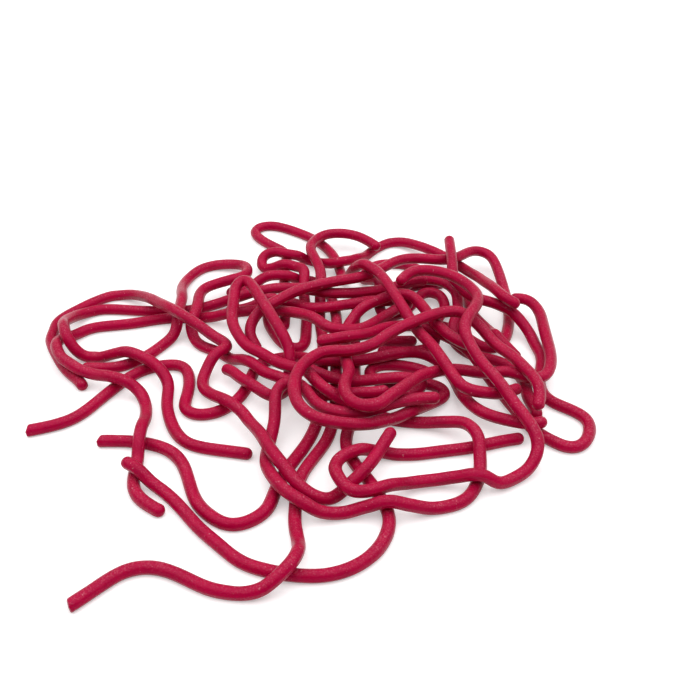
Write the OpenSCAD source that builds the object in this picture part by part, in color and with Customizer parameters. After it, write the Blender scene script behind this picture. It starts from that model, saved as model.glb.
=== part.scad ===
// A loose heap of long, thin, round soft plastic worms, as tipped out on a table.
// Each worm is one solid. Millimetres, +Z up, the table at z = 0.

/* [Worm] */
// Diameter of one worm, mm; the whole heap spreads with it
worm_d = 2.5; // [2:0.1:3]
// Longest a worm gets along its middle, mm
worm_length = 165; // [120:1:165]
// Length of the rounded tip, mm
tip_length = 1; // [0.5:0.1:1.5]
// Width left at the very end of a tip, mm
tip_face = 1.5; // [1:0.1:1.9]

/* [Heap] */
// Air between a worm and the one it crosses, mm
cross_gap = 0.2; // [0.15:0.05:0.4]
// Depth of the flat where a worm lies on the table, mm
rest_flat = 0.25; // [0.1:0.05:0.35]

/* [Facets] */
// Flat sides around a worm
sides = 8; // [8:2:12]
// Longest straight facet along a worm, mm
facet_length = 6; // [4:0.5:8]
// Largest bend between two facets along a worm, degrees
facet_bend = 32; // [20:2:40]

/* [Hidden] */
crimson = [0.62, 0.05, 0.16];

// The routes are drawn for a worm of this diameter
drawn_d = 2.5;
spread = worm_d / drawn_d;
// Height of the middle of a worm lying on the table, and of one laid over it
seat = worm_d / 2 - rest_flat;
level_height = worm_d + cross_gap;
// Puts the origin under the middle of the heap
middle = [-0.5, 0.5];

// Routes: [across, back, level]. Level 0 lies on the table, 1 lies over one worm.
front_route = [
    [-38, -64, 0], [-34, -60, 0], [-30, -56, 0], [-25, -55, 0], [-20, -57, 0], [-15, -60, 0],
    [-10, -61, 0], [-6, -61, 0.3], [-3, -59, 0.8], [-1, -57, 1.1], [0, -54, 0.9], [0, -50, 0.2],
    [-1, -45, 0], [-1, -40, 0], [-1, -36, 0], [0, -31, 0], [3, -25, 0], [5, -20, 0], [6, -12, 0],
    [6, -4, 0], [6, 4, 0], [6, 12, 0], [6, 20, 0], [5, 28, 0], [3, 34, 0], [0, 37, 0],
    [-3, 37, 0.2], [-6, 35, 1], [-9, 35, 1.1], [-12, 35, 0.8], [-15, 33, 0.2], [-19, 32, 0],
    [-22, 32, 0]
];

second_tip_route = [
    [-41, -22, 0], [-35, -22, 0], [-30, -23, 0], [-26, -25, 0], [-23, -29, 0], [-21, -35, 0],
    [-19, -40, 0], [-15, -44, 0], [-12, -45, 0], [-9, -44, 0], [-6, -41, 0], [-5, -36, 0],
    [-3, -30, 0], [0, -24, 0], [2, -18, 0], [3, -11, 0], [3, -4, 0], [3, 4, 0], [3, 12, 0],
    [2, 20, 0], [2, 26, 0.1], [2, 31, 1], [2, 37, 1.2], [0, 43, 1.3], [-1, 48, 1.2], [1, 53, 1.1],
    [4, 55, 1.1], [8, 55, 1.1], [12, 53, 1.1], [16, 48, 1.1], [19, 44, 0.9]
];

third_tip_route = [
    [-34, -31, 1.1], [-31, -33, 1], [-28, -35, 0.3], [-25, -37, 0], [-21, -42, 0], [-18, -46, 0],
    [-14, -50, 0], [-10, -54, 0], [-5, -56, 0], [0, -57, 0], [5, -57, 0], [10, -55, 0],
    [14, -51, 0], [16, -46, 0], [16, -42, 0], [15, -39, 0], [13, -34, 0], [10, -29, 0],
    [8, -23, 0], [9, -17, 0], [10, -10, 0], [10, -3, 0], [10, 4, 0], [10, 12, 0], [10, 20, 0],
    [11, 26, 0], [14, 31, 0], [19, 33, 0], [25, 35, 0], [33, 36, 0]
];

front_bottom_route = [
    [27, -15, 2], [22, -16, 2.2], [17, -18, 2.3], [12, -20, 2.1], [7, -20, 2.1], [3, -18, 2.1],
    [1, -15, 2.1], [-1, -11, 2.1], [-4, -10, 2], [-6, -12, 1.7], [-6, -16, 1.3], [-6, -20, 0.9],
    [-7, -26, 0.5], [-7, -31, 0.8], [-5, -36, 1], [-3, -39, 1.1], [0, -42, 1.1], [4, -43, 0.4],
    [8, -42, 0.1], [12, -42, 0.6], [16, -42, 1.1], [20, -42, 0.7], [24, -41, 0.1], [28, -40, 0],
    [31, -38, 0], [33, -34, 0], [34, -30, 0.1], [34, -27, 0.6], [34, -24, 1.1], [32, -20, 1.1],
    [28, -18, 0.6], [24, -17, 0.2], [20, -16, 0], [16, -15, 0], [13, -12, 0], [13, -9, 0],
    [16, -7, 0], [20, -7, 0], [24, -7, 0]
];

top_route = [
    [20, 22, 3.3], [22, 25, 3.5], [25, 26, 3.7], [29, 25, 3.8], [33, 22, 3.9], [36, 17, 4],
    [37, 13, 4.1], [36, 9, 4.2], [34, 5, 4.2], [33, 2, 3.8], [34, -2, 3.4], [36, -7, 3],
    [39, -12, 2.7], [41, -17, 2.4], [43, -21, 2.1], [45, -25, 1.6], [45, -28, 0.9],
    [43, -31, 0.3], [40, -33, 0.1], [37, -35, 0.3], [34, -35, 1], [32, -35, 1.1], [29, -34, 0.6],
    [25, -34, 0.3], [20, -35, 0.4], [16, -38, 1.1], [12, -40, 1.3], [9, -40, 1.4], [7, -37, 1.4],
    [6, -32, 1], [8, -29, 1], [11, -28, 1.1], [14, -26, 0.4], [18, -26, 0], [22, -26, 0],
    [27, -25, 0], [33, -24, 0], [39, -22, 0], [44, -21, 0]
];

outer_loop_route = [
    [-47, -5, 0], [-49, -2, 0], [-52, 1, 0], [-55, 6, 0], [-58, 12, 0], [-58, 16, 0],
    [-58, 20, 0], [-54, 25, 0], [-50, 29, 0], [-46, 31, 0], [-41, 29, 0.5], [-36, 23, 1.4],
    [-30, 15, 2.2], [-25, 12, 1.8], [-21, 9, 1.3], [-18, 7, 1.1], [-18, 5, 1.1], [-20, 3, 1.1],
    [-22, -1, 0.4], [-22, -5, 0.2], [-20, -9, 0.6], [-16, -13, 1.1], [-13, -16, 1.1],
    [-11, -19, 1], [-8, -25, 1.5], [-6, -30, 1.7], [-3, -34, 1.4], [-1, -37, 1.1], [2, -39, 0.6],
    [5, -39, 0.2], [7, -37, 0.1], [10, -35, 0.7], [13, -32, 1.2], [15, -28, 1.4], [17, -25, 1.9],
    [19, -23, 2.6], [20, -22, 3]
];

inner_hairpin_route = [
    [-10, -26, 0], [-15, -25, 0], [-20, -24, 0], [-24, -22, 0], [-27, -17, 0], [-29, -10, 0],
    [-29, -5, 0.3], [-31, -2, 0.9], [-34, 1, 1.1], [-39, 4, 1.1], [-42, 5, 0.6], [-46, 6, 0],
    [-49, 6, 0.1], [-51, 6, 0.8], [-53, 8, 1.7], [-54, 11, 1.8], [-55, 15, 1.2], [-54, 20, 0.5],
    [-52, 23, 0.1], [-48, 25, 0], [-40, 24, 0], [-35, 24, 0], [-30, 24, 0], [-26, 25, 0],
    [-22, 27, 0.1], [-18, 27, 0.6], [-14, 27, 1.1], [-10, 29, 1.1], [-6, 29, 1.2], [-2, 28, 1.4],
    [2, 25, 1.7], [6, 25, 1.6], [10, 26, 1.4], [15, 27, 1.4], [20, 27, 1.8], [24, 28, 2.1],
    [28, 28, 2.2]
];

left_hook_route = [
    [-25, -42, 0], [-28, -40, 0], [-31, -37, 0], [-32, -33, 0], [-32, -28, 0.1], [-32, -25, 0.9],
    [-32, -21, 1.1], [-32, -17, 0.6], [-33, -11, 0.1], [-35, -7, 0.4], [-38, -6, 1],
    [-41, -5, 1.1], [-45, -3, 0.8], [-48, -2, 0.9], [-51, 0, 1.1], [-53, 2, 1.1], [-55, 6, 1.1],
    [-55, 10, 0.7], [-53, 14, 0.1], [-50, 17, 0], [-46, 18, 0], [-40, 19, 0], [-34, 21, 0],
    [-28, 21, 0], [-23, 21, 0.2], [-18, 19, 1], [-13, 20, 1.1], [-8, 20, 1.1], [-3, 17, 1.6],
    [1, 13, 2.1], [4, 9, 2.2], [7, 8, 2.2], [10, 9, 1.9], [13, 12, 1.5], [17, 17, 1.3],
    [21, 21, 1.3], [24, 23, 1.2]
];

left_tip_route = [
    [-56, -19, 0], [-50, -17, 0], [-46, -14, 0], [-43, -9, 0], [-40, -4, 0], [-37, 0, 0],
    [-34, 2, 0], [-31, 3, 0], [-28, 3, 0], [-26, 1, 0], [-25, -3, 0], [-25, -8, 0], [-25, -12, 0],
    [-22, -14, 0], [-18, -13, 0], [-15, -10, 0], [-13, -6, 0], [-12, -1, 0], [-11, 3, 0],
    [-8, 5, 0], [-4, 6, 0], [-1, 4, 0.5], [2, 1, 1], [6, 1, 1], [11, 1, 1], [17, 3, 1],
    [23, 5, 0.8], [28, 4, 0.3], [31, -1, 0], [32, -6, 0.1], [33, -12, 0.7], [36, -17, 1],
    [41, -19, 1], [45, -20, 1], [48, -19, 1]
];

bent_over_route = [
    [-18, 0, 0.5], [-16, -2, 0.8], [-14, -5, 1], [-11, -8, 1.1], [-8, -10, 0.8], [-6, -9, 0.4],
    [-4, -5, 0], [-4, -1, 0.1], [-4, 1, 1], [-4, 3, 1.7], [-6, 6, 2.6], [-8, 10, 3],
    [-11, 16, 3.3], [-13, 21, 3.3], [-15, 24, 3.2], [-17, 22, 3], [-17, 17, 2.6], [-17, 11, 2.3],
    [-15, 6, 2.1], [-13, 3, 1.9], [-10, 1, 1.8], [-6, -2, 1.6], [-2, -4, 1.7], [0, -6, 2],
    [2, -10, 2.1], [5, -13, 1.9], [8, -14, 1.3], [12, -14, 1], [16, -13, 1], [20, -11, 1],
    [23, -9, 1], [24, -7, 1], [22, -5, 1], [17, -5, 1], [12, -6, 1], [9, -6, 1], [5, -5, 1],
    [2, -3, 1], [-1, -1, 1]
];

big_loop_route = [
    [46, -18, 1.8], [47, -15, 2.1], [47, -11, 2.3], [45, -6, 2.3], [43, -2, 2.3], [40, 2, 2.3],
    [38, 6, 2.5], [36, 9, 2.8], [33, 11, 3.2], [29, 10, 3.4], [25, 7, 3.6], [21, 4, 3.7],
    [17, 1, 3.6], [14, -2, 3.4], [9, -4, 3.3], [4, -4, 3.3], [1, -6, 3.2], [-1, -9, 3.2],
    [-2, -13, 3.2], [-2, -17, 3.2], [-1, -21, 3.1], [2, -24, 2.9], [6, -25, 2.7], [10, -24, 2.2],
    [14, -22, 1.7], [18, -19, 1.3], [21, -17, 1.2], [24, -13, 0.6], [27, -10, 0.2], [29, -7, 0],
    [27, -4, 0], [21, -3, 0], [15, -3, 0], [13, 0, 0], [15, 3, 0], [20, 3, 0], [25, 1, 0],
    [27, -1, 0]
];

diagonal_route = [
    [44, -9, 1.2], [40, -12, 1.5], [36, -13, 1.9], [32, -13, 2.3], [30, -10, 2.6], [28, -5, 2.8],
    [26, 1, 2.7], [24, 5, 2.6], [22, 10, 2.8], [20, 14, 3.3], [18, 19, 3.6], [16, 24, 3.7],
    [14, 27, 3.7], [12, 29, 3.6], [10, 31, 2.7], [9, 34, 1.4], [8, 36, 0.4], [7, 39, 0],
    [6, 45, 0], [4, 51, 0], [0, 57, 0], [-5, 61, 0], [-10, 64, 0], [-14, 64, 0], [-16, 61, 0],
    [-14, 57, 0], [-10, 53, 0], [-7, 50, 0], [-7, 44, 0], [-7, 37, 0], [-6, 30, 0], [-6, 23, 0],
    [-6, 17, 0]
];

back_route = [
    [-11, 7, 0.3], [-13, 10, 0.9], [-13, 13, 1.5], [-11, 16, 2.1], [-7, 19, 2.4], [-3, 22, 2.6],
    [2, 24, 2.7], [7, 26, 2.7], [11, 27, 2.7], [15, 30, 2.6], [19, 35, 2.4], [23, 38, 2.2],
    [28, 38, 2.1], [32, 38, 2], [35, 40, 1.8], [38, 44, 1.5], [41, 46, 1.2], [44, 44, 1],
    [45, 38, 0.7], [46, 31, 0.1], [46, 24, 0], [45, 17, 0], [43, 11, 0], [40, 9, 0], [37, 11, 0],
    [34, 15, 0], [30, 18, 0], [25, 18, 0], [19, 18, 0], [15, 18, 0], [13, 15, 0], [16, 12, 0],
    [20, 12, 0], [24, 12, 0]
];

right_hairpin_route = [
    [33, 43, 3.2], [33, 36, 3.1], [33, 31, 2.8], [33, 28, 2.3], [35, 25, 2], [37, 22, 1.9],
    [40, 21, 1.8], [43, 20, 1.6], [46, 18, 1.3], [49, 14, 0.6], [50, 10, 0.2], [51, 6, 0.1],
    [50, 1, 0], [49, -4, 0], [50, -9, 0], [54, -12, 0], [57, -15, 0], [57, -19, 0], [55, -23, 0],
    [52, -24, 0], [49, -22, 0], [46, -19, 0], [44, -15, 0], [42, -10, 0], [40, -5, 0],
    [38, -1, 0.3], [36, 2, 0.9], [34, 5, 1.2], [31, 8, 1.3], [27, 11, 1.4], [23, 12, 1.6],
    [19, 11, 1.8], [16, 8, 2.3], [13, 4, 2.8], [9, 2, 3.1], [5, 1, 3.1], [2, 0, 3.1]
];

curl_route = [
    [46, 24, 1.3], [49, 24, 1.3], [51, 22, 1.3], [52, 18, 1.3], [52, 14, 1.3], [52, 9, 1.3],
    [52, 2, 1.3], [51, -3, 1.3], [49, -6, 1.3], [46, -6, 1.3], [42, -4, 1.4], [38, -5, 1.4],
    [34, -4, 1.4], [30, -4, 1.6], [26, -7, 2.1], [23, -10, 2.6], [20, -15, 3.1], [17, -19, 3.4],
    [14, -22, 3.3], [10, -21, 3.2], [8, -17, 3], [8, -12, 2.8], [9, -8, 2.5], [8, -3, 2.3],
    [8, 2, 2], [8, 6, 1.3], [8, 11, 1], [9, 15, 1.2], [12, 18, 1.9], [16, 20, 2.2], [20, 22, 2.3],
    [23, 21, 2.3], [25, 18, 2.2], [26, 14, 2.4], [28, 9, 2.4], [31, 5, 2.2], [35, 2, 2.1]
];

left_back_route = [
    [-49, 2, 0], [-46, 2, 0], [-42, 2, 0], [-38, 4, 0], [-35, 7, 0], [-33, 10, 0], [-31, 13, 0.1],
    [-30, 15, 0.6], [-30, 18, 1.1], [-30, 22, 1.1], [-30, 26, 1], [-31, 31, 0.5], [-31, 36, 0.1],
    [-29, 41, 0], [-26, 44, 0], [-22, 44, 0.2], [-18, 43, 0.4], [-16, 40, 0.7], [-16, 36, 0.9],
    [-19, 33, 1.1], [-24, 31, 1], [-26, 28, 1], [-26, 24, 1.1], [-26, 20, 1.1], [-27, 16, 0.7],
    [-26, 13, 0.1], [-24, 10, 0], [-20, 8, 0], [-17, 5, 0.1], [-14, 2, 0.8], [-12, 0, 1.1],
    [-9, -3, 1], [-6, -5, 1.1], [-3, -7, 1.1], [0, -9, 1], [4, -11, 1], [9, -10, 1], [14, -10, 1],
    [17, -9, 1]
];

back_ring_route = [
    [47, 17, 2.3], [44, 18, 2.7], [42, 23, 2.5], [40, 31, 1.6], [38, 38, 0.8], [35, 42, 0.7],
    [32, 46, 0.7], [28, 50, 0.6], [24, 54, 0.3], [20, 56, 0], [16, 53, 0], [13, 49, 0],
    [10, 44, 0.7], [7, 41, 1.1], [4, 42, 0.7], [1, 45, 0.2], [-2, 46, 0.3], [-4, 45, 0.9],
    [-7, 45, 1.1], [-9, 46, 1.1], [-12, 46, 0.8], [-13, 44, 0.4], [-12, 42, 0.2], [-10, 41, 0.5],
    [-7, 40, 1.1], [-4, 39, 1.1], [-2, 37, 1.2], [-2, 34, 0.8], [-2, 30, 0.1], [-1, 24, 0],
    [-1, 17, 0], [-1, 11, 0], [-3, 9, 0], [-6, 11, 0], [-8, 15, 0], [-10, 20, 0], [-10, 26, 0],
    [-11, 30, 0]
];

inner_arc_route = [
    [-20, 24, 0], [-16, 24, 0.2], [-13, 24, 0.6], [-10, 25, 1.1], [-7, 24, 1.1], [-4, 23, 1.1],
    [-1, 21, 1.1], [3, 21, 1.1], [7, 22, 1.1], [11, 23, 1.1], [14, 24, 1.1], [17, 24, 1],
    [20, 26, 0.7], [21, 29, 0.8], [23, 32, 1], [26, 33, 1.1], [29, 33, 1.1], [32, 31, 1.1],
    [34, 28, 0.9], [34, 24, 0.6], [34, 20, 0.7], [33, 17, 1.1], [32, 14, 0.8], [32, 11, 0.3],
    [34, 8, 0.1], [37, 6, 0], [40, 5, 0], [43, 3, 0], [45, 0, 0], [46, -4, 0.1], [46, -8, 0],
    [47, -12, 0], [47, -15, 0]
];

far_arc_route = [
    [15, 8, 0], [19, 8, 0], [23, 8, 0], [26, 9, 0], [28, 11, 0.3], [28, 14, 0.8], [29, 17, 1.1],
    [30, 20, 0.8], [31, 23, 0.3], [31, 26, 0.4], [30, 29, 0.5], [27, 30, 0.5], [25, 28, 0.4],
    [23, 25, 0.2], [21, 23, 0], [18, 22, 0], [16, 24, 0], [16, 28, 0.4], [16, 32, 1.1],
    [14, 35, 0.6], [12, 38, 0], [13, 41, 0], [15, 44, 0], [18, 45, 0], [22, 45, 0], [25, 43, 0],
    [28, 41, 0], [31, 40, 0], [34, 39, 0], [37, 36, 0], [37, 33, 0], [37, 29, 0], [37, 25, 0],
    [38, 21, 0], [40, 17, 0], [41, 14, 0.3], [41, 10, 1.1], [43, 7, 0.8], [46, 5, 0]
];

// Small steps of the smooth curve between two route points
curve_steps = 8;
// Where a tip has a ring between its end and the full width, as a share of the tip
shoulder = 0.35;

function unit(v) = v / norm(v);

// A route point in space
function placed(p) =
    [(p.x - middle.x) * spread, (p.y - middle.y) * spread, seat + p.z * level_height];

// Smooth curve through four neighbouring points, from the second to the third
function through(a, b, c, d, t) =
    (2 * b + (c - a) * t + (2 * a - 5 * b + 4 * c - d) * t * t
        + (3 * b - a - 3 * c + d) * t * t * t) / 2;

// The curve as many short straight pieces, never below a worm lying on the table
function curve(route) =
    let (
        p = [for (q = route) placed(q)],
        n = len(p),
        ends = concat([2 * p[0] - p[1]], p, [2 * p[n - 1] - p[n - 2]]),
        line = [
            for (i = [1 : n - 1], k = [0 : curve_steps - 1])
                through(ends[i - 1], ends[i], ends[i + 1], ends[i + 2], k / curve_steps),
            p[n - 1]
        ]
    ) [for (q = line) [q.x, q.y, max(q.z, seat)]];

// Distance to the next point of a line
function step(line, i) = norm(line[min(i + 1, len(line) - 1)] - line[i]);

// Distance from the start at every point of a line
function distances(line) = [
    for (i = 0, s = 0; i < len(line); s = s + step(line, i), i = i + 1) s
];

// Bend at one point of a line, degrees
function bend(line, i) =
    i == 0 || i == len(line) - 1 ? 0
    : let (u = line[i] - line[i - 1], v = line[i + 1] - line[i])
        atan2(norm(cross(u, v)), u * v);

// Running count of facets: long ones on straight runs, short ones in bends
function facet_counts(line) = [
    for (
        i = 0, w = 0;
        i < len(line);
        w = w + step(line, i) / facet_length + bend(line, i) / facet_bend, i = i + 1
    ) w
];

function column(keys, values) = [for (i = [0 : len(keys) - 1]) [keys[i], values[i]]];

// Points of a line at the given distances from its start
function points_at(line, from_start, wanted) =
    let (
        xs = column(from_start, [for (q = line) q.x]),
        ys = column(from_start, [for (q = line) q.y]),
        zs = column(from_start, [for (q = line) q.z])
    ) [for (s = wanted) [lookup(s, xs), lookup(s, ys), lookup(s, zs)]];

// One ring of corners, square to the run of the worm and flat where it meets the table
function ring(centre, along, r) =
    let (across = unit(cross(along, [0, 0, 1])), upward = cross(across, along))
    [
        for (k = [0 : sides - 1])
            let (
                a = (k + 0.5) * 360 / sides,
                q = centre + r * (cos(a) * across + sin(a) * upward)
            ) [q.x, q.y, max(q.z, 0)]
    ];

// Width of a tip at a share of its length from the end
function tip_width(u) = tip_face + (worm_d - tip_face) * sqrt(1 - pow(1 - u, 2));

// A round worm with rounded tips along a route, cut to length
module worm(route) {
    line = curve(route);
    from_start = distances(line);
    counts = facet_counts(line);
    whole = min(worm_length, from_start[len(line) - 1]);
    first = lookup(tip_length, column(from_start, counts));
    last = lookup(whole - tip_length, column(from_start, counts));
    facets = ceil(last - first);
    body = [
        for (k = [0 : facets])
            lookup(first + (last - first) * k / facets, column(counts, from_start))
    ];
    edge = shoulder * tip_length;
    stations = concat([0, edge], body, [whole - edge, whole]);
    n = len(stations);
    radii = [
        for (k = [0 : n - 1])
            let (from_end = min(k, n - 1 - k))
            tip_width(from_end == 0 ? 0 : from_end == 1 ? shoulder : 1) / 2
    ];
    centres = points_at(line, from_start, stations);
    corners = [
        for (k = [0 : n - 1])
            each ring(centres[k], unit(centres[min(k + 1, n - 1)] - centres[max(k - 1, 0)]), radii[k])
    ];
    skin = [
        for (k = [0 : n - 2], j = [0 : sides - 1])
            let (a = k * sides + j, b = k * sides + (j + 1) % sides)
            each [[a, a + sides, b], [b, a + sides, b + sides]]
    ];
    last_ring = (n - 1) * sides;
    ends = [
        for (j = [1 : sides - 2])
            each [[0, j, j + 1], [last_ring, last_ring + j + 1, last_ring + j]]
    ];
    polyhedron(corners, concat(skin, ends));
}

module front_worm() { color(crimson) worm(front_route); }
module second_tip_worm() { color(crimson) worm(second_tip_route); }
module third_tip_worm() { color(crimson) worm(third_tip_route); }
module front_bottom_worm() { color(crimson) worm(front_bottom_route); }
module top_worm() { color(crimson) worm(top_route); }
module outer_loop_worm() { color(crimson) worm(outer_loop_route); }
module inner_hairpin_worm() { color(crimson) worm(inner_hairpin_route); }
module left_hook_worm() { color(crimson) worm(left_hook_route); }
module left_tip_worm() { color(crimson) worm(left_tip_route); }
module bent_over_worm() { color(crimson) worm(bent_over_route); }
module big_loop_worm() { color(crimson) worm(big_loop_route); }
module diagonal_worm() { color(crimson) worm(diagonal_route); }
module back_worm() { color(crimson) worm(back_route); }
module right_hairpin_worm() { color(crimson) worm(right_hairpin_route); }
module curl_worm() { color(crimson) worm(curl_route); }
module left_back_worm() { color(crimson) worm(left_back_route); }
module back_ring_worm() { color(crimson) worm(back_ring_route); }
module inner_arc_worm() { color(crimson) worm(inner_arc_route); }
module far_arc_worm() { color(crimson) worm(far_arc_route); }

front_worm();
second_tip_worm();
third_tip_worm();
front_bottom_worm();
top_worm();
outer_loop_worm();
inner_hairpin_worm();
left_hook_worm();
left_tip_worm();
bent_over_worm();
big_loop_worm();
diagonal_worm();
back_worm();
right_hairpin_worm();
curl_worm();
left_back_worm();
back_ring_worm();
inner_arc_worm();
far_arc_worm();
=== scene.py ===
import math
import random

import bpy
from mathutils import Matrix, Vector


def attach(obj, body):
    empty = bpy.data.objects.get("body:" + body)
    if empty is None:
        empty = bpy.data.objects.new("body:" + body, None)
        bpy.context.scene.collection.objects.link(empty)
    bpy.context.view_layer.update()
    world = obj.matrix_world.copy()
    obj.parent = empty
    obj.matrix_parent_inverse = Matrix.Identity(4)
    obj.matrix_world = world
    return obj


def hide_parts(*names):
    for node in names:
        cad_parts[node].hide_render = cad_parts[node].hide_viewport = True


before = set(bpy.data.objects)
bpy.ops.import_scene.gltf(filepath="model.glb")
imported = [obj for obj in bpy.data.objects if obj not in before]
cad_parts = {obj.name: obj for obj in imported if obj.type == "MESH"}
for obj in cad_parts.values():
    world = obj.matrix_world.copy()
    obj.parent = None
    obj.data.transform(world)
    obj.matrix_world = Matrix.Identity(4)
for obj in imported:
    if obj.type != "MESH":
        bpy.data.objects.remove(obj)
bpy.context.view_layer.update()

bl_info = {
    "name": "Heap of Soft Worms",
    "version": (1, 0, 0),
    "blender": (4, 5, 0),
    "location": "View3D > Sidebar > Worms",
    "description": "Lays a loose heap of thin soft plastic worms on a pale table",
    "category": "Add Mesh",
}

MM = 0.001
BODY = "root"
FINISH_SLOT = "worm_plastic"

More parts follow.
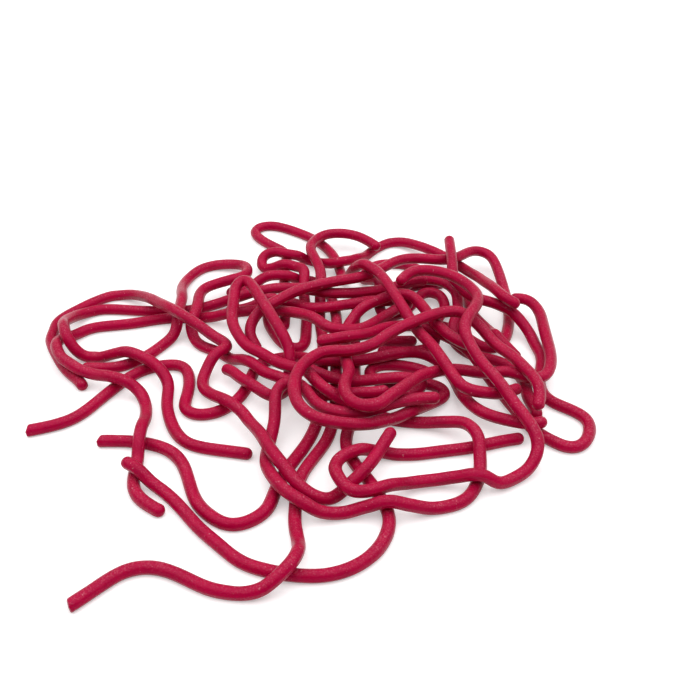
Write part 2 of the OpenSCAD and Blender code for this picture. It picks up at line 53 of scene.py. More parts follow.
# Where each worm runs: millimetres to the right, millimetres to the back, and how many
# worms it lies over. Tips that were cut rather than moulded are listed after the routes.
ROUTES = {
    "front_worm": (
        (-38, -64, 0), (-34, -60, 0), (-30, -56, 0), (-25, -55, 0), (-20, -57, 0), (-15, -60, 0),
        (-10, -61, 0), (-6, -61, 0.3), (-3, -59, 0.8), (-1, -57, 1.1), (0, -54, 0.9), (0, -50, 0.2),
        (-1, -45, 0), (-1, -40, 0), (-1, -36, 0), (0, -31, 0), (3, -25, 0), (5, -20, 0),
        (6, -12, 0), (6, -4, 0), (6, 4, 0), (6, 12, 0), (6, 20, 0), (5, 28, 0), (3, 34, 0),
        (0, 37, 0), (-3, 37, 0.2), (-6, 35, 1), (-9, 35, 1.1), (-12, 35, 0.8), (-15, 33, 0.2),
        (-19, 32, 0), (-22, 32, 0),
    ),
    "second_tip_worm": (
        (-41, -22, 0), (-35, -22, 0), (-30, -23, 0), (-26, -25, 0), (-23, -29, 0), (-21, -35, 0),
        (-19, -40, 0), (-15, -44, 0), (-12, -45, 0), (-9, -44, 0), (-6, -41, 0), (-5, -36, 0),
        (-3, -30, 0), (0, -24, 0), (2, -18, 0), (3, -11, 0), (3, -4, 0), (3, 4, 0), (3, 12, 0),
        (2, 20, 0), (2, 26, 0.1), (2, 31, 1), (2, 37, 1.2), (0, 43, 1.3), (-1, 48, 1.2),
        (1, 53, 1.1), (4, 55, 1.1), (8, 55, 1.1), (12, 53, 1.1), (16, 48, 1.1), (19, 44, 0.9),
    ),
    "third_tip_worm": (
        (-34, -31, 1.1), (-31, -33, 1), (-28, -35, 0.3), (-25, -37, 0), (-21, -42, 0),
        (-18, -46, 0), (-14, -50, 0), (-10, -54, 0), (-5, -56, 0), (0, -57, 0), (5, -57, 0),
        (10, -55, 0), (14, -51, 0), (16, -46, 0), (16, -42, 0), (15, -39, 0), (13, -34, 0),
        (10, -29, 0), (8, -23, 0), (9, -17, 0), (10, -10, 0), (10, -3, 0), (10, 4, 0), (10, 12, 0),
        (10, 20, 0), (11, 26, 0), (14, 31, 0), (19, 33, 0), (25, 35, 0), (33, 36, 0),
    ),
    "front_bottom_worm": (
        (27, -15, 2), (22, -16, 2.2), (17, -18, 2.3), (12, -20, 2.1), (7, -20, 2.1), (3, -18, 2.1),
        (1, -15, 2.1), (-1, -11, 2.1), (-4, -10, 2), (-6, -12, 1.7), (-6, -16, 1.3), (-6, -20, 0.9),
        (-7, -26, 0.5), (-7, -31, 0.8), (-5, -36, 1), (-3, -39, 1.1), (0, -42, 1.1), (4, -43, 0.4),
        (8, -42, 0.1), (12, -42, 0.6), (16, -42, 1.1), (20, -42, 0.7), (24, -41, 0.1), (28, -40, 0),
        (31, -38, 0), (33, -34, 0), (34, -30, 0.1), (34, -27, 0.6), (34, -24, 1.1), (32, -20, 1.1),
        (28, -18, 0.6), (24, -17, 0.2), (20, -16, 0), (16, -15, 0), (13, -12, 0), (13, -9, 0),
        (16, -7, 0), (20, -7, 0), (24, -7, 0),
    ),
    "top_worm": (
        (20, 22, 3.3), (22, 25, 3.5), (25, 26, 3.7), (29, 25, 3.8), (33, 22, 3.9), (36, 17, 4),
        (37, 13, 4.1), (36, 9, 4.2), (34, 5, 4.2), (33, 2, 3.8), (34, -2, 3.4), (36, -7, 3),
        (39, -12, 2.7), (41, -17, 2.4), (43, -21, 2.1), (45, -25, 1.6), (45, -28, 0.9),
        (43, -31, 0.3), (40, -33, 0.1), (37, -35, 0.3), (34, -35, 1), (32, -35, 1.1),
        (29, -34, 0.6), (25, -34, 0.3), (20, -35, 0.4), (16, -38, 1.1), (12, -40, 1.3),
        (9, -40, 1.4), (7, -37, 1.4), (6, -32, 1), (8, -29, 1), (11, -28, 1.1), (14, -26, 0.4),
        (18, -26, 0), (22, -26, 0), (27, -25, 0), (33, -24, 0), (39, -22, 0), (44, -21, 0),
    ),
    "outer_loop_worm": (
        (-47, -5, 0), (-49, -2, 0), (-52, 1, 0), (-55, 6, 0), (-58, 12, 0), (-58, 16, 0),
        (-58, 20, 0), (-54, 25, 0), (-50, 29, 0), (-46, 31, 0), (-41, 29, 0.5), (-36, 23, 1.4),
        (-30, 15, 2.2), (-25, 12, 1.8), (-21, 9, 1.3), (-18, 7, 1.1), (-18, 5, 1.1), (-20, 3, 1.1),
        (-22, -1, 0.4), (-22, -5, 0.2), (-20, -9, 0.6), (-16, -13, 1.1), (-13, -16, 1.1),
        (-11, -19, 1), (-8, -25, 1.5), (-6, -30, 1.7), (-3, -34, 1.4), (-1, -37, 1.1),
        (2, -39, 0.6), (5, -39, 0.2), (7, -37, 0.1), (10, -35, 0.7), (13, -32, 1.2), (15, -28, 1.4),
        (17, -25, 1.9), (19, -23, 2.6), (20, -22, 3),
    ),
    "inner_hairpin_worm": (
        (-10, -26, 0), (-15, -25, 0), (-20, -24, 0), (-24, -22, 0), (-27, -17, 0), (-29, -10, 0),
        (-29, -5, 0.3), (-31, -2, 0.9), (-34, 1, 1.1), (-39, 4, 1.1), (-42, 5, 0.6), (-46, 6, 0),
        (-49, 6, 0.1), (-51, 6, 0.8), (-53, 8, 1.7), (-54, 11, 1.8), (-55, 15, 1.2), (-54, 20, 0.5),
        (-52, 23, 0.1), (-48, 25, 0), (-40, 24, 0), (-35, 24, 0), (-30, 24, 0), (-26, 25, 0),
        (-22, 27, 0.1), (-18, 27, 0.6), (-14, 27, 1.1), (-10, 29, 1.1), (-6, 29, 1.2),
        (-2, 28, 1.4), (2, 25, 1.7), (6, 25, 1.6), (10, 26, 1.4), (15, 27, 1.4), (20, 27, 1.8),
        (24, 28, 2.1), (28, 28, 2.2),
    ),
    "left_hook_worm": (
        (-25, -42, 0), (-28, -40, 0), (-31, -37, 0), (-32, -33, 0), (-32, -28, 0.1),
        (-32, -25, 0.9), (-32, -21, 1.1), (-32, -17, 0.6), (-33, -11, 0.1), (-35, -7, 0.4),
        (-38, -6, 1), (-41, -5, 1.1), (-45, -3, 0.8), (-48, -2, 0.9), (-51, 0, 1.1), (-53, 2, 1.1),
        (-55, 6, 1.1), (-55, 10, 0.7), (-53, 14, 0.1), (-50, 17, 0), (-46, 18, 0), (-40, 19, 0),
        (-34, 21, 0), (-28, 21, 0), (-23, 21, 0.2), (-18, 19, 1), (-13, 20, 1.1), (-8, 20, 1.1),
        (-3, 17, 1.6), (1, 13, 2.1), (4, 9, 2.2), (7, 8, 2.2), (10, 9, 1.9), (13, 12, 1.5),
        (17, 17, 1.3), (21, 21, 1.3), (24, 23, 1.2),
    ),
    "left_tip_worm": (
        (-56, -19, 0), (-50, -17, 0), (-46, -14, 0), (-43, -9, 0), (-40, -4, 0), (-37, 0, 0),
        (-34, 2, 0), (-31, 3, 0), (-28, 3, 0), (-26, 1, 0), (-25, -3, 0), (-25, -8, 0),
        (-25, -12, 0), (-22, -14, 0), (-18, -13, 0), (-15, -10, 0), (-13, -6, 0), (-12, -1, 0),
        (-11, 3, 0), (-8, 5, 0), (-4, 6, 0), (-1, 4, 0.5), (2, 1, 1), (6, 1, 1), (11, 1, 1),
        (17, 3, 1), (23, 5, 0.8), (28, 4, 0.3), (31, -1, 0), (32, -6, 0.1), (33, -12, 0.7),
        (36, -17, 1), (41, -19, 1), (45, -20, 1), (48, -19, 1),
    ),
    "bent_over_worm": (
        (-18, 0, 0.5), (-16, -2, 0.8), (-14, -5, 1), (-11, -8, 1.1), (-8, -10, 0.8), (-6, -9, 0.4),
        (-4, -5, 0), (-4, -1, 0.1), (-4, 1, 1), (-4, 3, 1.7), (-6, 6, 2.6), (-8, 10, 3),
        (-11, 16, 3.3), (-13, 21, 3.3), (-15, 24, 3.2), (-17, 22, 3), (-17, 17, 2.6),
        (-17, 11, 2.3), (-15, 6, 2.1), (-13, 3, 1.9), (-10, 1, 1.8), (-6, -2, 1.6), (-2, -4, 1.7),
        (0, -6, 2), (2, -10, 2.1), (5, -13, 1.9), (8, -14, 1.3), (12, -14, 1), (16, -13, 1),
        (20, -11, 1), (23, -9, 1), (24, -7, 1), (22, -5, 1), (17, -5, 1), (12, -6, 1), (9, -6, 1),
        (5, -5, 1), (2, -3, 1), (-1, -1, 1),
    ),
    "big_loop_worm": (
        (46, -18, 1.8), (47, -15, 2.1), (47, -11, 2.3), (45, -6, 2.3), (43, -2, 2.3), (40, 2, 2.3),
        (38, 6, 2.5), (36, 9, 2.8), (33, 11, 3.2), (29, 10, 3.4), (25, 7, 3.6), (21, 4, 3.7),
        (17, 1, 3.6), (14, -2, 3.4), (9, -4, 3.3), (4, -4, 3.3), (1, -6, 3.2), (-1, -9, 3.2),
        (-2, -13, 3.2), (-2, -17, 3.2), (-1, -21, 3.1), (2, -24, 2.9), (6, -25, 2.7),
        (10, -24, 2.2), (14, -22, 1.7), (18, -19, 1.3), (21, -17, 1.2), (24, -13, 0.6),
        (27, -10, 0.2), (29, -7, 0), (27, -4, 0), (21, -3, 0), (15, -3, 0), (13, 0, 0), (15, 3, 0),
        (20, 3, 0), (25, 1, 0), (27, -1, 0),
    ),
    "diagonal_worm": (
        (44, -9, 1.2), (40, -12, 1.5), (36, -13, 1.9), (32, -13, 2.3), (30, -10, 2.6),
        (28, -5, 2.8), (26, 1, 2.7), (24, 5, 2.6), (22, 10, 2.8), (20, 14, 3.3), (18, 19, 3.6),
        (16, 24, 3.7), (14, 27, 3.7), (12, 29, 3.6), (10, 31, 2.7), (9, 34, 1.4), (8, 36, 0.4),
        (7, 39, 0), (6, 45, 0), (4, 51, 0), (0, 57, 0), (-5, 61, 0), (-10, 64, 0), (-14, 64, 0),
        (-16, 61, 0), (-14, 57, 0), (-10, 53, 0), (-7, 50, 0), (-7, 44, 0), (-7, 37, 0),
        (-6, 30, 0), (-6, 23, 0), (-6, 17, 0),
    ),
    "back_worm": (
        (-11, 7, 0.3), (-13, 10, 0.9), (-13, 13, 1.5), (-11, 16, 2.1), (-7, 19, 2.4), (-3, 22, 2.6),
        (2, 24, 2.7), (7, 26, 2.7), (11, 27, 2.7), (15, 30, 2.6), (19, 35, 2.4), (23, 38, 2.2),
        (28, 38, 2.1), (32, 38, 2), (35, 40, 1.8), (38, 44, 1.5), (41, 46, 1.2), (44, 44, 1),
        (45, 38, 0.7), (46, 31, 0.1), (46, 24, 0), (45, 17, 0), (43, 11, 0), (40, 9, 0),
        (37, 11, 0), (34, 15, 0), (30, 18, 0), (25, 18, 0), (19, 18, 0), (15, 18, 0), (13, 15, 0),
        (16, 12, 0), (20, 12, 0), (24, 12, 0),
    ),
    "right_hairpin_worm": (
        (33, 43, 3.2), (33, 36, 3.1), (33, 31, 2.8), (33, 28, 2.3), (35, 25, 2), (37, 22, 1.9),
        (40, 21, 1.8), (43, 20, 1.6), (46, 18, 1.3), (49, 14, 0.6), (50, 10, 0.2), (51, 6, 0.1),
        (50, 1, 0), (49, -4, 0), (50, -9, 0), (54, -12, 0), (57, -15, 0), (57, -19, 0),
        (55, -23, 0), (52, -24, 0), (49, -22, 0), (46, -19, 0), (44, -15, 0), (42, -10, 0),
        (40, -5, 0), (38, -1, 0.3), (36, 2, 0.9), (34, 5, 1.2), (31, 8, 1.3), (27, 11, 1.4),
        (23, 12, 1.6), (19, 11, 1.8), (16, 8, 2.3), (13, 4, 2.8), (9, 2, 3.1), (5, 1, 3.1),
        (2, 0, 3.1),
    ),
    "curl_worm": (
        (46, 24, 1.3), (49, 24, 1.3), (51, 22, 1.3), (52, 18, 1.3), (52, 14, 1.3), (52, 9, 1.3),
        (52, 2, 1.3), (51, -3, 1.3), (49, -6, 1.3), (46, -6, 1.3), (42, -4, 1.4), (38, -5, 1.4),
        (34, -4, 1.4), (30, -4, 1.6), (26, -7, 2.1), (23, -10, 2.6), (20, -15, 3.1), (17, -19, 3.4),
        (14, -22, 3.3), (10, -21, 3.2), (8, -17, 3), (8, -12, 2.8), (9, -8, 2.5), (8, -3, 2.3),
        (8, 2, 2), (8, 6, 1.3), (8, 11, 1), (9, 15, 1.2), (12, 18, 1.9), (16, 20, 2.2),
        (20, 22, 2.3), (23, 21, 2.3), (25, 18, 2.2), (26, 14, 2.4), (28, 9, 2.4), (31, 5, 2.2),
        (35, 2, 2.1),
    ),
    "left_back_worm": (
        (-49, 2, 0), (-46, 2, 0), (-42, 2, 0), (-38, 4, 0), (-35, 7, 0), (-33, 10, 0),
        (-31, 13, 0.1), (-30, 15, 0.6), (-30, 18, 1.1), (-30, 22, 1.1), (-30, 26, 1),
        (-31, 31, 0.5), (-31, 36, 0.1), (-29, 41, 0), (-26, 44, 0), (-22, 44, 0.2), (-18, 43, 0.4),
        (-16, 40, 0.7), (-16, 36, 0.9), (-19, 33, 1.1), (-24, 31, 1), (-26, 28, 1), (-26, 24, 1.1),
        (-26, 20, 1.1), (-27, 16, 0.7), (-26, 13, 0.1), (-24, 10, 0), (-20, 8, 0), (-17, 5, 0.1),
        (-14, 2, 0.8), (-12, 0, 1.1), (-9, -3, 1), (-6, -5, 1.1), (-3, -7, 1.1), (0, -9, 1),
        (4, -11, 1), (9, -10, 1), (14, -10, 1), (17, -9, 1),
    ),
    "back_ring_worm": (
        (47, 17, 2.3), (44, 18, 2.7), (42, 23, 2.5), (40, 31, 1.6), (38, 38, 0.8), (35, 42, 0.7),
        (32, 46, 0.7), (28, 50, 0.6), (24, 54, 0.3), (20, 56, 0), (16, 53, 0), (13, 49, 0),
        (10, 44, 0.7), (7, 41, 1.1), (4, 42, 0.7), (1, 45, 0.2), (-2, 46, 0.3), (-4, 45, 0.9),
        (-7, 45, 1.1), (-9, 46, 1.1), (-12, 46, 0.8), (-13, 44, 0.4), (-12, 42, 0.2),
        (-10, 41, 0.5), (-7, 40, 1.1), (-4, 39, 1.1), (-2, 37, 1.2), (-2, 34, 0.8), (-2, 30, 0.1),
        (-1, 24, 0), (-1, 17, 0), (-1, 11, 0), (-3, 9, 0), (-6, 11, 0), (-8, 15, 0), (-10, 20, 0),
        (-10, 26, 0), (-11, 30, 0),
    ),
    "inner_arc_worm": (
        (-20, 24, 0), (-16, 24, 0.2), (-13, 24, 0.6), (-10, 25, 1.1), (-7, 24, 1.1), (-4, 23, 1.1),
        (-1, 21, 1.1), (3, 21, 1.1), (7, 22, 1.1), (11, 23, 1.1), (14, 24, 1.1), (17, 24, 1),
        (20, 26, 0.7), (21, 29, 0.8), (23, 32, 1), (26, 33, 1.1), (29, 33, 1.1), (32, 31, 1.1),
        (34, 28, 0.9), (34, 24, 0.6), (34, 20, 0.7), (33, 17, 1.1), (32, 14, 0.8), (32, 11, 0.3),
        (34, 8, 0.1), (37, 6, 0), (40, 5, 0), (43, 3, 0), (45, 0, 0), (46, -4, 0.1), (46, -8, 0),
        (47, -12, 0), (47, -15, 0),
    ),
    "far_arc_worm": (
        (15, 8, 0), (19, 8, 0), (23, 8, 0), (26, 9, 0), (28, 11, 0.3), (28, 14, 0.8), (29, 17, 1.1),
        (30, 20, 0.8), (31, 23, 0.3), (31, 26, 0.4), (30, 29, 0.5), (27, 30, 0.5), (25, 28, 0.4),
        (23, 25, 0.2), (21, 23, 0), (18, 22, 0), (16, 24, 0), (16, 28, 0.4), (16, 32, 1.1),
        (14, 35, 0.6), (12, 38, 0), (13, 41, 0), (15, 44, 0), (18, 45, 0), (22, 45, 0), (25, 43, 0),
        (28, 41, 0), (31, 40, 0), (34, 39, 0), (37, 36, 0), (37, 33, 0), (37, 29, 0), (37, 25, 0),
        (38, 21, 0), (40, 17, 0), (41, 14, 0.3), (41, 10, 1.1), (43, 7, 0.8), (46, 5, 0),
    ),
}

# The middle of the heap on the table, which is the origin
HEAP_MIDDLE = (-0.5, 0.5)

# Worm ends that were snipped off: name, then 0 for the first end and 1 for the last
SNIPPED = {("second_tip_worm", 0), ("left_tip_worm", 0), ("front_worm", 0)}

# A snipped end, in radii of its worm: rounded edge, bulge of the flat, slant, and how far
# the slant is felt along the worm. The rings on the flat are counted.
SNIP_EDGE = 0.36
SNIP_BULGE = 0.036
SNIP_SLANT = 0.3
SNIP_REACH = 2.2
FLAT_RINGS = 2

# The nib of flash on a snipped rim: height in radii, and place and spread in radians
NIB_HEIGHT = 0.22
NIB_ANGLE = 0.8
NIB_SPREAD = 0.35

# Steps in a quarter turn of a moulded tip and of a snipped edge, and the room in radii
# between a tip and the plain rings
TIP_STEPS = 7
EDGE_STEPS = 5
TIP_ROOM = 0.3

# How a worm's thickness wanders: waves added up, with rates in radians per millimetre
WAVES = 5
WAVE_RATES = (0.25, 1.4)

# How the seam rolls round a worm, in radians: at its start, and in a slow wave with its
# rate per millimetre
START_ROLL = 0.25
ROLL_WAVE = 0.3
ROLL_RATE = 0.05

# How far up the skin faces where powder and a painted highlight of the overhead lamp begin on the
# upper side, and where they are full: 1 is straight up
DUST_AND_HIGHLIGHT_BEGINS = 0.6
DUST_AND_HIGHLIGHT_FULL = 0.95

# Start of the random draws
SEED = 5


class WormSettings(bpy.types.PropertyGroup):
    """Sizes and colours of the worms"""

    diameter: bpy.props.FloatProperty(
        name="Diameter", description="Thickness of one worm",
        default=2.5 * MM, min=0.5 * MM, unit="LENGTH")
    longest: bpy.props.FloatProperty(
        name="Longest", description="Length at which a long worm ends",
        default=165 * MM, min=20 * MM, unit="LENGTH")
    cross_gap: bpy.props.FloatProperty(
        name="Crossing gap", description="Air between a worm and the one it crosses",
        default=0.2 * MM, min=0, unit="LENGTH")
    rest_flat: bpy.props.FloatProperty(
        name="Resting flat", description="Depth of the flat pressed by the table",
        default=0.25 * MM, min=0, unit="LENGTH")
    ring_step: bpy.props.FloatProperty(
        name="Ring step", description="Distance between the rings of a worm's skin",
        default=0.6 * MM, min=0.1 * MM, unit="LENGTH")
    sides: bpy.props.IntProperty(
        name="Sides", description="Plain corners in each ring of a worm's skin, besides the seams",
        default=18, min=8)
    unevenness: bpy.props.FloatProperty(
        name="Unevenness", description="How far the thickness wanders, as a share of it",
        default=0.016, min=0, max=0.05, subtype="FACTOR")
    seam: bpy.props.FloatProperty(
        name="Seam", description="Height of the mould's seam along both sides of a worm",
        default=0.05 * MM, min=0, max=0.3 * MM, unit="LENGTH")
    crimson: bpy.props.FloatVectorProperty(
        name="Crimson", description="Colour of the soft plastic",
        default=(0.41, 0.0003, 0.039), size=3, min=0, max=1, subtype="COLOR")
    # Bloom colour: real powder, and also a painted highlight that stands in for the lamp's
    # reflection on the upper side
    bloom_and_highlight: bpy.props.FloatVectorProperty(
        name="Bloom", description="Colour of the fine powder on the skin",
        default=(0.50, 0.085, 0.13), size=3, min=0, max=1, subtype="COLOR")


class StageSettings(bpy.types.PropertyGroup):
    """Camera, table, backdrop and light"""

    target: bpy.props.FloatVectorProperty(
        name="Target", description="Point on the table that the camera looks at",
        default=(9.5 * MM, 9.5 * MM, 0), size=3, unit="LENGTH")
    distance: bpy.props.FloatProperty(
        name="Distance", description="From the camera to the target",
        default=236 * MM, unit="LENGTH")
    elevation: bpy.props.FloatProperty(
        name="Elevation", description="Height of the camera above the horizon",
        default=math.radians(36), subtype="ANGLE")
    view_angle: bpy.props.FloatProperty(
        name="View angle", description="Angle that the frame takes in",
        default=math.radians(36.55), subtype="ANGLE")
    table_width: bpy.props.FloatProperty(
        name="Table width", description="Across the white table, and the round wall on it",
        default=6, min=0.5, unit="LENGTH")
    table_drop: bpy.props.FloatProperty(
        name="Table drop", description="How far the table lies below the heap's flats",
        default=0.03 * MM, min=0, unit="LENGTH")
    wall_height: bpy.props.FloatProperty(
        name="Wall height", description="Height of the white wall round the table",
        default=0.58, min=0, unit="LENGTH")
    wall_root: bpy.props.FloatProperty(
        name="Wall root", description="How far the wall goes on below the table",
        default=0.02, min=0, unit="LENGTH")
    lamp_place: bpy.props.FloatVectorProperty(
        name="Lamp place", description="Middle of the wide lamp over the heap",
        default=(0, 0.01, 0.5), size=3, unit="LENGTH")
    lamp_size: bpy.props.FloatVectorProperty(
        name="Lamp size", description="Width and depth of the wide lamp",
        default=(1.6, 0.86), size=2, min=0.01, unit="LENGTH")
    overhead: bpy.props.FloatProperty(
        name="Overhead light", description="Power of the wide lamp over the heap",
        default=8.2, min=0, subtype="POWER")
    sky: bpy.props.FloatProperty(
        name="Sky", description="Strength of the even light from all round",
        default=0.16, min=0)


# Shader maths

class Socket:
    """A node's output, with the arithmetic that the materials use"""

    def __init__(self, tree, link):
        self.tree, self.link = tree, link

    def _math(self, operation, a, b):
        return self.tree.add("ShaderNodeMath", {"operation": operation}, {0: a, 1: b})

    def __add__(self, other):
        return self._math("ADD", self, other)

    def __sub__(self, other):
        return self._math("SUBTRACT", self, other)

    def __rsub__(self, other):
        return self._math("SUBTRACT", other, self)

    def __mul__(self, other):
        return self._math("MULTIPLY", self, other)

    __radd__, __rmul__ = __add__, __mul__


class Shading:
    """One material's or world's node tree, emptied, with its output node"""

    def __init__(self, owner, output):
        owner.use_nodes = True
        self.nodes, self.links = owner.node_tree.nodes, owner.node_tree.links
        self.nodes.clear()
        self.output = self.nodes.new(output)

    def add(self, kind, settings=None, inputs=None, out=0):
        """A node of one kind: its settings first, then values or links for its sockets"""
        node = self.nodes.new(kind)
        for name, value in (settings or {}).items():
            if name == "stops":
                ramp = node.color_ramp.elements
                while len(ramp) < len(value):
                    ramp.new(1)
                for stop, (place, colour) in zip(ramp, value):
                    stop.position, stop.color = place, colour
            else:
                setattr(node, name, value)
        for name, value in (inputs or {}).items():
            if isinstance(value, Socket):
                self.links.new(value.link, node.inputs[name])
            else:
                node.inputs[name].default_value = value
        return Socket(self, node.outputs[out])

    def finish(self, surface):
        self.links.new(surface.link, self.output.inputs["Surface"])


def grey(value):
    return (value, value, value, 1)


def worm_plastic(settings):
    """Soft crimson plastic, finely grained, with powder and a painted highlight on its upper side,
    and a seam painted paler as a thin highlight
    """
    material = bpy.data.materials.new(FINISH_SLOT)
    shade = Shading(material, "ShaderNodeOutputMaterial")
    place = shade.add("ShaderNodeTexCoord", out="Object")

    def mark(name):
        return shade.add("ShaderNodeAttribute", {"attribute_name": name}, out="Fac")

    def noise(cells_per_metre, detail=2.0, rough=0.5):
        return shade.add("ShaderNodeTexNoise", {}, {
            "Vector": place, "Scale": cells_per_metre, "Detail": detail, "Roughness": rough})

    def ramp(value, low, high):
        return shade.add("ShaderNodeValToRGB", {
            "stops": [(low, grey(0)), (high, grey(1))]}, {"Fac": value})

    def mix(factor, a, b):
        return shade.add("ShaderNodeMix", {"data_type": "RGBA"}, {
            "Factor": factor, 6: a, 7: b}, out=2)

    crimson = (*settings.crimson, 1)
    deep = (*(0.84 * c for c in settings.crimson), 1)
    bloom_and_highlight = (*settings.bloom_and_highlight, 1)
    pale = (0.60, 0.20, 0.25, 1)

    snip, seam, dusty = mark("snip"), mark("seam"), mark("dusty")
    mottle = ramp(noise(280, 3), 0.38, 0.68)
    patches = ramp(noise(50), 0.40, 0.58)
    grain = noise(2400, 1)
    dots = ramp(noise(3000, 2, 0.6), 0.49, 0.66)
    specks = ramp(noise(1500, 1), 0.73, 0.77)

    # Painted highlight: skin that faces up is mixed towards the bloom colour in place of the
    # overhead lamp's reflection, together with real powder in patches
    powder_and_highlight = dusty * (0.35 + 0.65 * patches)
    colour = mix(mottle, crimson, deep)
    # Painted highlight on the seam: 0.12 of the seam mark tints it towards the bloom colour,
    # standing in for the table's thin reflection along the side
    colour = mix(powder_and_highlight * (0.06 + 0.62 * dots) + 0.12 * seam, colour, bloom_and_highlight)
    colour = mix(0.45 * specks, colour, pale)
    colour = mix(0.4 * snip, colour, deep)
    bumps = shade.add("ShaderNodeBump", {}, {
        "Strength": 0.7, "Distance": 0.09 * MM, "Height": grain + 0.3 * dots})
    skin = shade.add("ShaderNodeBsdfPrincipled", {}, {
        "Base Color": colour,
        "Roughness": 0.25 + 0.12 * grain - 0.05 * snip,
        "Normal": bumps,
        "Subsurface Weight": 0.12,
        "Subsurface Radius": (1.0, 0.12, 0.16),
        "Subsurface Scale": 0.5 * MM,
        "Specular IOR Level": 0.19,
        "Specular Tint": (1.0, 0.4, 0.7, 1.0),
    })
    shade.finish(skin)
    return material


# The line of a worm

def between(a, b, c, d, t):
    """Point at t of the smooth curve from b to c, with a before and d after"""
    return (2 * b + (c - a) * t + (2 * a - 5 * b + 4 * c - d) * t ** 2
            + (3 * b - a - 3 * c + d) * t ** 3) / 2


def measured(line):
    """Distance from the start at every point of a line"""
    run = [0.0]
    for a, b in zip(line, line[1:]):
        run.append(run[-1] + (b - a).length)
    return run


def points_at(line, run, stations):
    """Points of a line at rising distances from its start"""
    found, i = [], 0
    for s in stations:
        while i < len(run) - 2 and run[i + 1] < s:
            i += 1
        t = (s - run[i]) / (run[i + 1] - run[i])
        found.append(line[i].lerp(line[i + 1], t))
    return found


def eased(line, reach=10):
    """A line with rounder bends, seen from above: its heights and its ends stay"""
    soft, last = [], len(line) - 1
    for i, p in enumerate(line):
        k = min(reach, i, last - i)
        near = line[i - k:i + k + 1]
        x, y = (sum(q[axis] for q in near) / len(near) for axis in (0, 1))
        soft.append(Vector((x, y, p.z)))
    return soft


def centreline(route, settings, steps=24):
    """The middle of a worm, as points close together, never below a worm on the table"""
    seat = settings.diameter / 2 - settings.rest_flat
    level = settings.diameter + settings.cross_gap
    points = [
        Vector(((x - HEAP_MIDDLE[0]) * MM, (y - HEAP_MIDDLE[1]) * MM, seat + n * level))
        for x, y, n in route
    ]
    points = [2 * points[0] - points[1], *points, 2 * points[-1] - points[-2]]
    line = [
        between(*points[i - 1:i + 3], k / steps)
        for i in range(1, len(points) - 2) for k in range(steps)
    ]
    line.append(points[-2])
    for p in line:
        p.z = max(p.z, seat)
    run = measured(line)
    if run[-1] > settings.longest:
        end = points_at(line, run, [settings.longest])
        line = [p for p, s in zip(line, run) if s < settings.longest] + end
    return eased(eased(line))


# The skin of a worm

def quarter_turn(steps):
    """Angles from 0 to a right angle, without those two"""
    return [math.radians(90) * k / steps for k in range(1, steps)]


def tip_rings(radius, snipped):
    """Rings of a tip from its end: distance from the end, and radius there"""
    if not snipped:
        return [
            (radius * (1 - math.cos(a)), radius * math.sin(a)) for a in quarter_turn(TIP_STEPS)]
    edge, bulge = SNIP_EDGE * radius, SNIP_BULGE * radius
    flat = [(0.1 * bulge, 0.35 * radius), (0.5 * bulge, radius - edge - bulge)]
    return flat + [
        (bulge + edge * (1 - math.cos(a)), radius - edge * (1 - math.sin(a)))
        for a in quarter_turn(EDGE_STEPS)]


def worm_rings(length, radius, cuts, wander, step):
    """Rings of a whole worm: distance from its start, and radius there"""
    first, last = (tip_rings(radius, cut) for cut in cuts)
    start = first[-1][0] + TIP_ROOM * radius
    stop = length - last[-1][0] - TIP_ROOM * radius
    count = math.ceil((stop - start) / step)
    plain = [start + (stop - start) * k / count for k in range(count + 1)]
    return [
        *first,
        *((s, radius * wander(s)) for s in plain),
        *((length - s, r) for s, r in reversed(last)),
    ]


def ring_corners(sides, half_seam=math.radians(6)):
    """Angles of a ring's corners, each with 1 on a seam's ridge and 0 elsewhere"""
    corners, plain = [], sides // 2
    for side in (0, math.pi):
        corners += [(side - half_seam, 0), (side, 1)]
        corners += [
            (side + half_seam + (math.pi - 2 * half_seam) * k / plain, 0) for k in range(plain)]
    return corners


def snipped_back(radius, depth, r, angle):
    """How far a slanted snip, with a nib of flash on its rim, lies behind the end"""
    slant = SNIP_SLANT * (radius - r * math.cos(angle))
    nib = (r / radius) ** 2 * math.exp(-((angle - NIB_ANGLE) / NIB_SPREAD) ** 2)
    fade = max(0, 1 - depth / (SNIP_REACH * radius))
    return (slant - NIB_HEIGHT * radius * nib) * fade


def tube_faces(rings, sides):
    """Faces of a closed tube whose corners run from one end's middle to the other's"""
    end = 1 + rings * sides
    faces = [(0, 1 + (j + 1) % sides, 1 + j) for j in range(sides)]
    for base in range(1, end - sides, sides):
        for j in range(sides):
            a, b = base + j, base + (j + 1) % sides
            faces.append((a, b, b + sides, a + sides))
    base = end - sides
    faces += [(end, base + j, base + (j + 1) % sides) for j in range(sides)]
    return faces


def skin_mesh(name, corners, faces, marks):
    """A smooth mesh, with the marks that the plastic reads at every corner"""
    mesh = bpy.data.meshes.new(name)
    mesh.from_pydata(corners, [], faces)
    mesh.validate()
    for mark, values in marks.items():
        mesh.attributes.new(mark, "FLOAT", "POINT").data.foreach_set("value", values)
    mesh.shade_smooth()
    return mesh


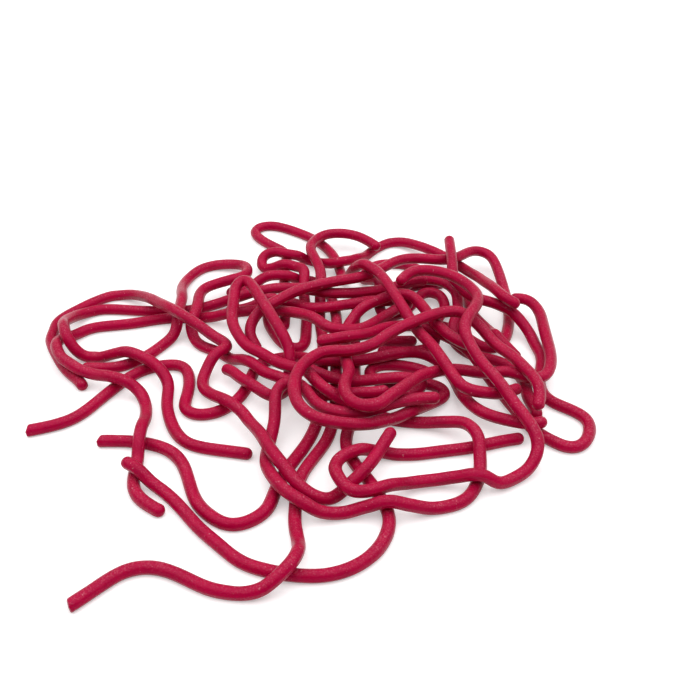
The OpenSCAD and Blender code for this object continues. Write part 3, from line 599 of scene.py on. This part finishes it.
def worm_object(name, route, settings, chance):
    """One worm as a closed tube, with the line that it follows and its length"""
    line = centreline(route, settings)
    run = measured(line)
    length, radius = run[-1], settings.diameter / 2
    cuts = [(name, end) in SNIPPED for end in (0, 1)]
    waves = [
        (chance.uniform(*WAVE_RATES) / MM, chance.uniform(0, math.tau)) for _ in range(WAVES)]
    rolled = chance.uniform(-START_ROLL, START_ROLL)

    def wander(s):
        wave = sum(math.sin(rate * s + turn) for rate, turn in waves) / len(waves)
        return 1 + settings.unevenness * wave

    def roll(s):
        return rolled + ROLL_WAVE * math.sin(ROLL_RATE * s / MM + waves[0][1])

    rings = worm_rings(length, radius, cuts, wander, settings.ring_step)
    middles = points_at(line, run, [0.0, *(s for s, _ in rings), length])
    around = ring_corners(settings.sides)
    corners, ridges, dust_and_highlight_shares = [], [], []
    for k, (s, r) in enumerate(rings, 1):
        along = (middles[k + 1] - middles[k - 1]).normalized()
        across = along.cross(Vector((0, 0, 1))).normalized()
        upward = across.cross(along)
        for angle, ridge in around:
            a = angle + roll(s)
            out = r + ridge * settings.seam * r / radius
            corner = middles[k] + out * (math.cos(a) * across + math.sin(a) * upward)
            if cuts[0]:
                corner += along * snipped_back(radius, s, r, angle)
            if cuts[1]:
                corner -= along * snipped_back(radius, length - s, r, angle)
            corner.z = max(corner.z, 0)
            corners.append(corner)
            ridges.append(ridge)
            # Share of powder and painted highlight: it grows as the skin faces up, where the lamp's
            # reflection falls
            upness = math.sin(a) * upward.z * r / radius
            dust_and_highlight_shares.append(min(max((upness - DUST_AND_HIGHLIGHT_BEGINS) / (DUST_AND_HIGHLIGHT_FULL - DUST_AND_HIGHLIGHT_BEGINS), 0), 1))

    middle_back = snipped_back(radius, 0, 0, 0)
    if cuts[0]:
        middles[0] += (middles[1] - middles[0]).normalized() * middle_back
    if cuts[1]:
        middles[-1] -= (middles[-1] - middles[-2]).normalized() * middle_back
    corners = [middles[0], *corners, middles[-1]]
    flat = 1 + FLAT_RINGS * len(around)
    marks = {
        "snip": [cuts[0]] * flat + [False] * (len(corners) - 2 * flat) + [cuts[1]] * flat,
        "seam": [0, *ridges, 0],
        "dusty": [0, *dust_and_highlight_shares, 0],
    }
    mesh = skin_mesh(name + "_skin", corners, tube_faces(len(rings), len(around)), marks)
    worm = bpy.data.objects.new(name + "_soft", mesh)
    bpy.context.scene.collection.objects.link(worm)
    return worm, middles, length


class WORMS_OT_heap(bpy.types.Operator):
    """Lay the heap of soft worms, each along its own route"""

    bl_idname = "worms.heap"
    bl_label = "Lay the Worms"

    def execute(self, context):
        settings = context.scene.worm_settings
        plastic = worm_plastic(settings)
        chance = random.Random(SEED)
        for name, route in ROUTES.items():
            worm, path, length = worm_object(name, route, settings, chance)
            worm.data.materials.append(plastic)
            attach(worm, BODY)
            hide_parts(name)
        return {"FINISHED"}


# Stage

class WORMS_OT_camera(bpy.types.Operator):
    """Place the camera in front of the heap, looking down at it"""

    bl_idname = "worms.camera"
    bl_label = "Place the Camera"

    def execute(self, context):
        settings = context.scene.stage_settings
        data = bpy.data.cameras.new("camera")
        data.angle = settings.view_angle
        data.clip_start = 10 * MM
        camera = bpy.data.objects.new("camera", data)
        context.scene.collection.objects.link(camera)
        target = Vector(settings.target)
        back = Vector((0, -math.cos(settings.elevation), math.sin(settings.elevation)))
        camera.location = target + settings.distance * back
        ahead = target - camera.location
        camera.rotation_euler = ahead.to_track_quat("-Z", "Y").to_euler()
        context.scene.camera = camera
        return {"FINISHED"}


def seen(shade):
    """1 where a ray goes straight to the eye, or by way of a gloss or through clear stuff"""
    kinds = ("Is Camera Ray", "Is Glossy Ray", "Is Transmission Ray")
    camera, glossy, clear = (shade.add("ShaderNodeLightPath", out=kind) for kind in kinds)
    return camera + glossy + clear


def table_white():
    """White that keeps soft shadows near the heap, and looks white by itself further out"""
    material = bpy.data.materials.new("table_white")
    shade = Shading(material, "ShaderNodeOutputMaterial")
    place = shade.add("ShaderNodeTexCoord", out="Object")
    away = shade.add("ShaderNodeVectorMath", {"operation": "LENGTH"}, {0: place}, out="Value")
    glimmer = shade.add("ShaderNodeValToRGB", {
        "stops": [(0.2, grey(0.35)), (0.9, grey(1))]}, {"Fac": away})
    matte = shade.add("ShaderNodeBsdfDiffuse", {}, {"Color": grey(0.8)})
    glow = shade.add("ShaderNodeEmission", {}, {"Color": glimmer, "Strength": seen(shade)})
    shade.finish(shade.add("ShaderNodeAddShader", {}, {0: matte, 1: glow}))
    return material


def overhead_lamp(settings):
    """One wide lamp that shines straight down on the heap"""
    data = bpy.data.lights.new("overhead_lamp", "AREA")
    data.shape = "RECTANGLE"
    data.size, data.size_y = settings.lamp_size
    data.energy = settings.overhead
    lamp = bpy.data.objects.new("overhead_lamp", data)
    lamp.location = settings.lamp_place
    bpy.context.scene.collection.objects.link(lamp)


class WORMS_OT_stage(bpy.types.Operator):
    """Set the table, the wall round it, the lamp and the even light"""

    bl_idname = "worms.stage"
    bl_label = "Set the Stage"

    def execute(self, context):
        settings = context.scene.stage_settings
        bpy.ops.object.select_all(action="DESELECT")
        bpy.ops.mesh.primitive_plane_add(
            size=settings.table_width, location=(0, 0, -settings.table_drop))
        table = context.object
        table.name = "table"
        bpy.ops.mesh.primitive_cylinder_add(
            vertices=96, radius=settings.table_width / 2,
            depth=settings.wall_height + settings.wall_root, end_fill_type="NOTHING",
            location=(0, 0, (settings.wall_height - settings.wall_root) / 2))
        backdrop = context.object
        backdrop.name = "backdrop"
        white = table_white()
        for piece in (table, backdrop):
            piece.data.materials.append(white)
        overhead_lamp(settings)
        world = context.scene.world or bpy.data.worlds.new("surroundings")
        context.scene.world = world
        shade = Shading(world, "ShaderNodeOutputWorld")
        shade.finish(shade.add("ShaderNodeBackground", {}, {
            "Color": grey(1), "Strength": settings.sky}))
        context.scene.view_settings.view_transform = "Standard"
        return {"FINISHED"}


class WORMS_PT_heap(bpy.types.Panel):
    """Everything that makes the heap"""

    bl_label = "Heap of Soft Worms"
    bl_space_type = "VIEW_3D"
    bl_region_type = "UI"
    bl_category = "Worms"

    def draw(self, context):
        for settings in (context.scene.worm_settings, context.scene.stage_settings):
            for name in settings.__annotations__:
                self.layout.prop(settings, name)
        for operator in OPERATORS:
            self.layout.operator(operator.bl_idname)


OPERATORS = (WORMS_OT_camera, WORMS_OT_heap, WORMS_OT_stage)
CLASSES = (WormSettings, StageSettings, *OPERATORS, WORMS_PT_heap)


def register():
    for cls in CLASSES:
        bpy.utils.register_class(cls)
    bpy.types.Scene.worm_settings = bpy.props.PointerProperty(type=WormSettings)
    bpy.types.Scene.stage_settings = bpy.props.PointerProperty(type=StageSettings)


def unregister():
    del bpy.types.Scene.stage_settings
    del bpy.types.Scene.worm_settings
    for cls in reversed(CLASSES):
        bpy.utils.unregister_class(cls)


def main():
    register()
    bpy.ops.worms.camera()
    bpy.ops.worms.heap()
    bpy.ops.worms.stage()


if __name__ == "__main__":
    main()
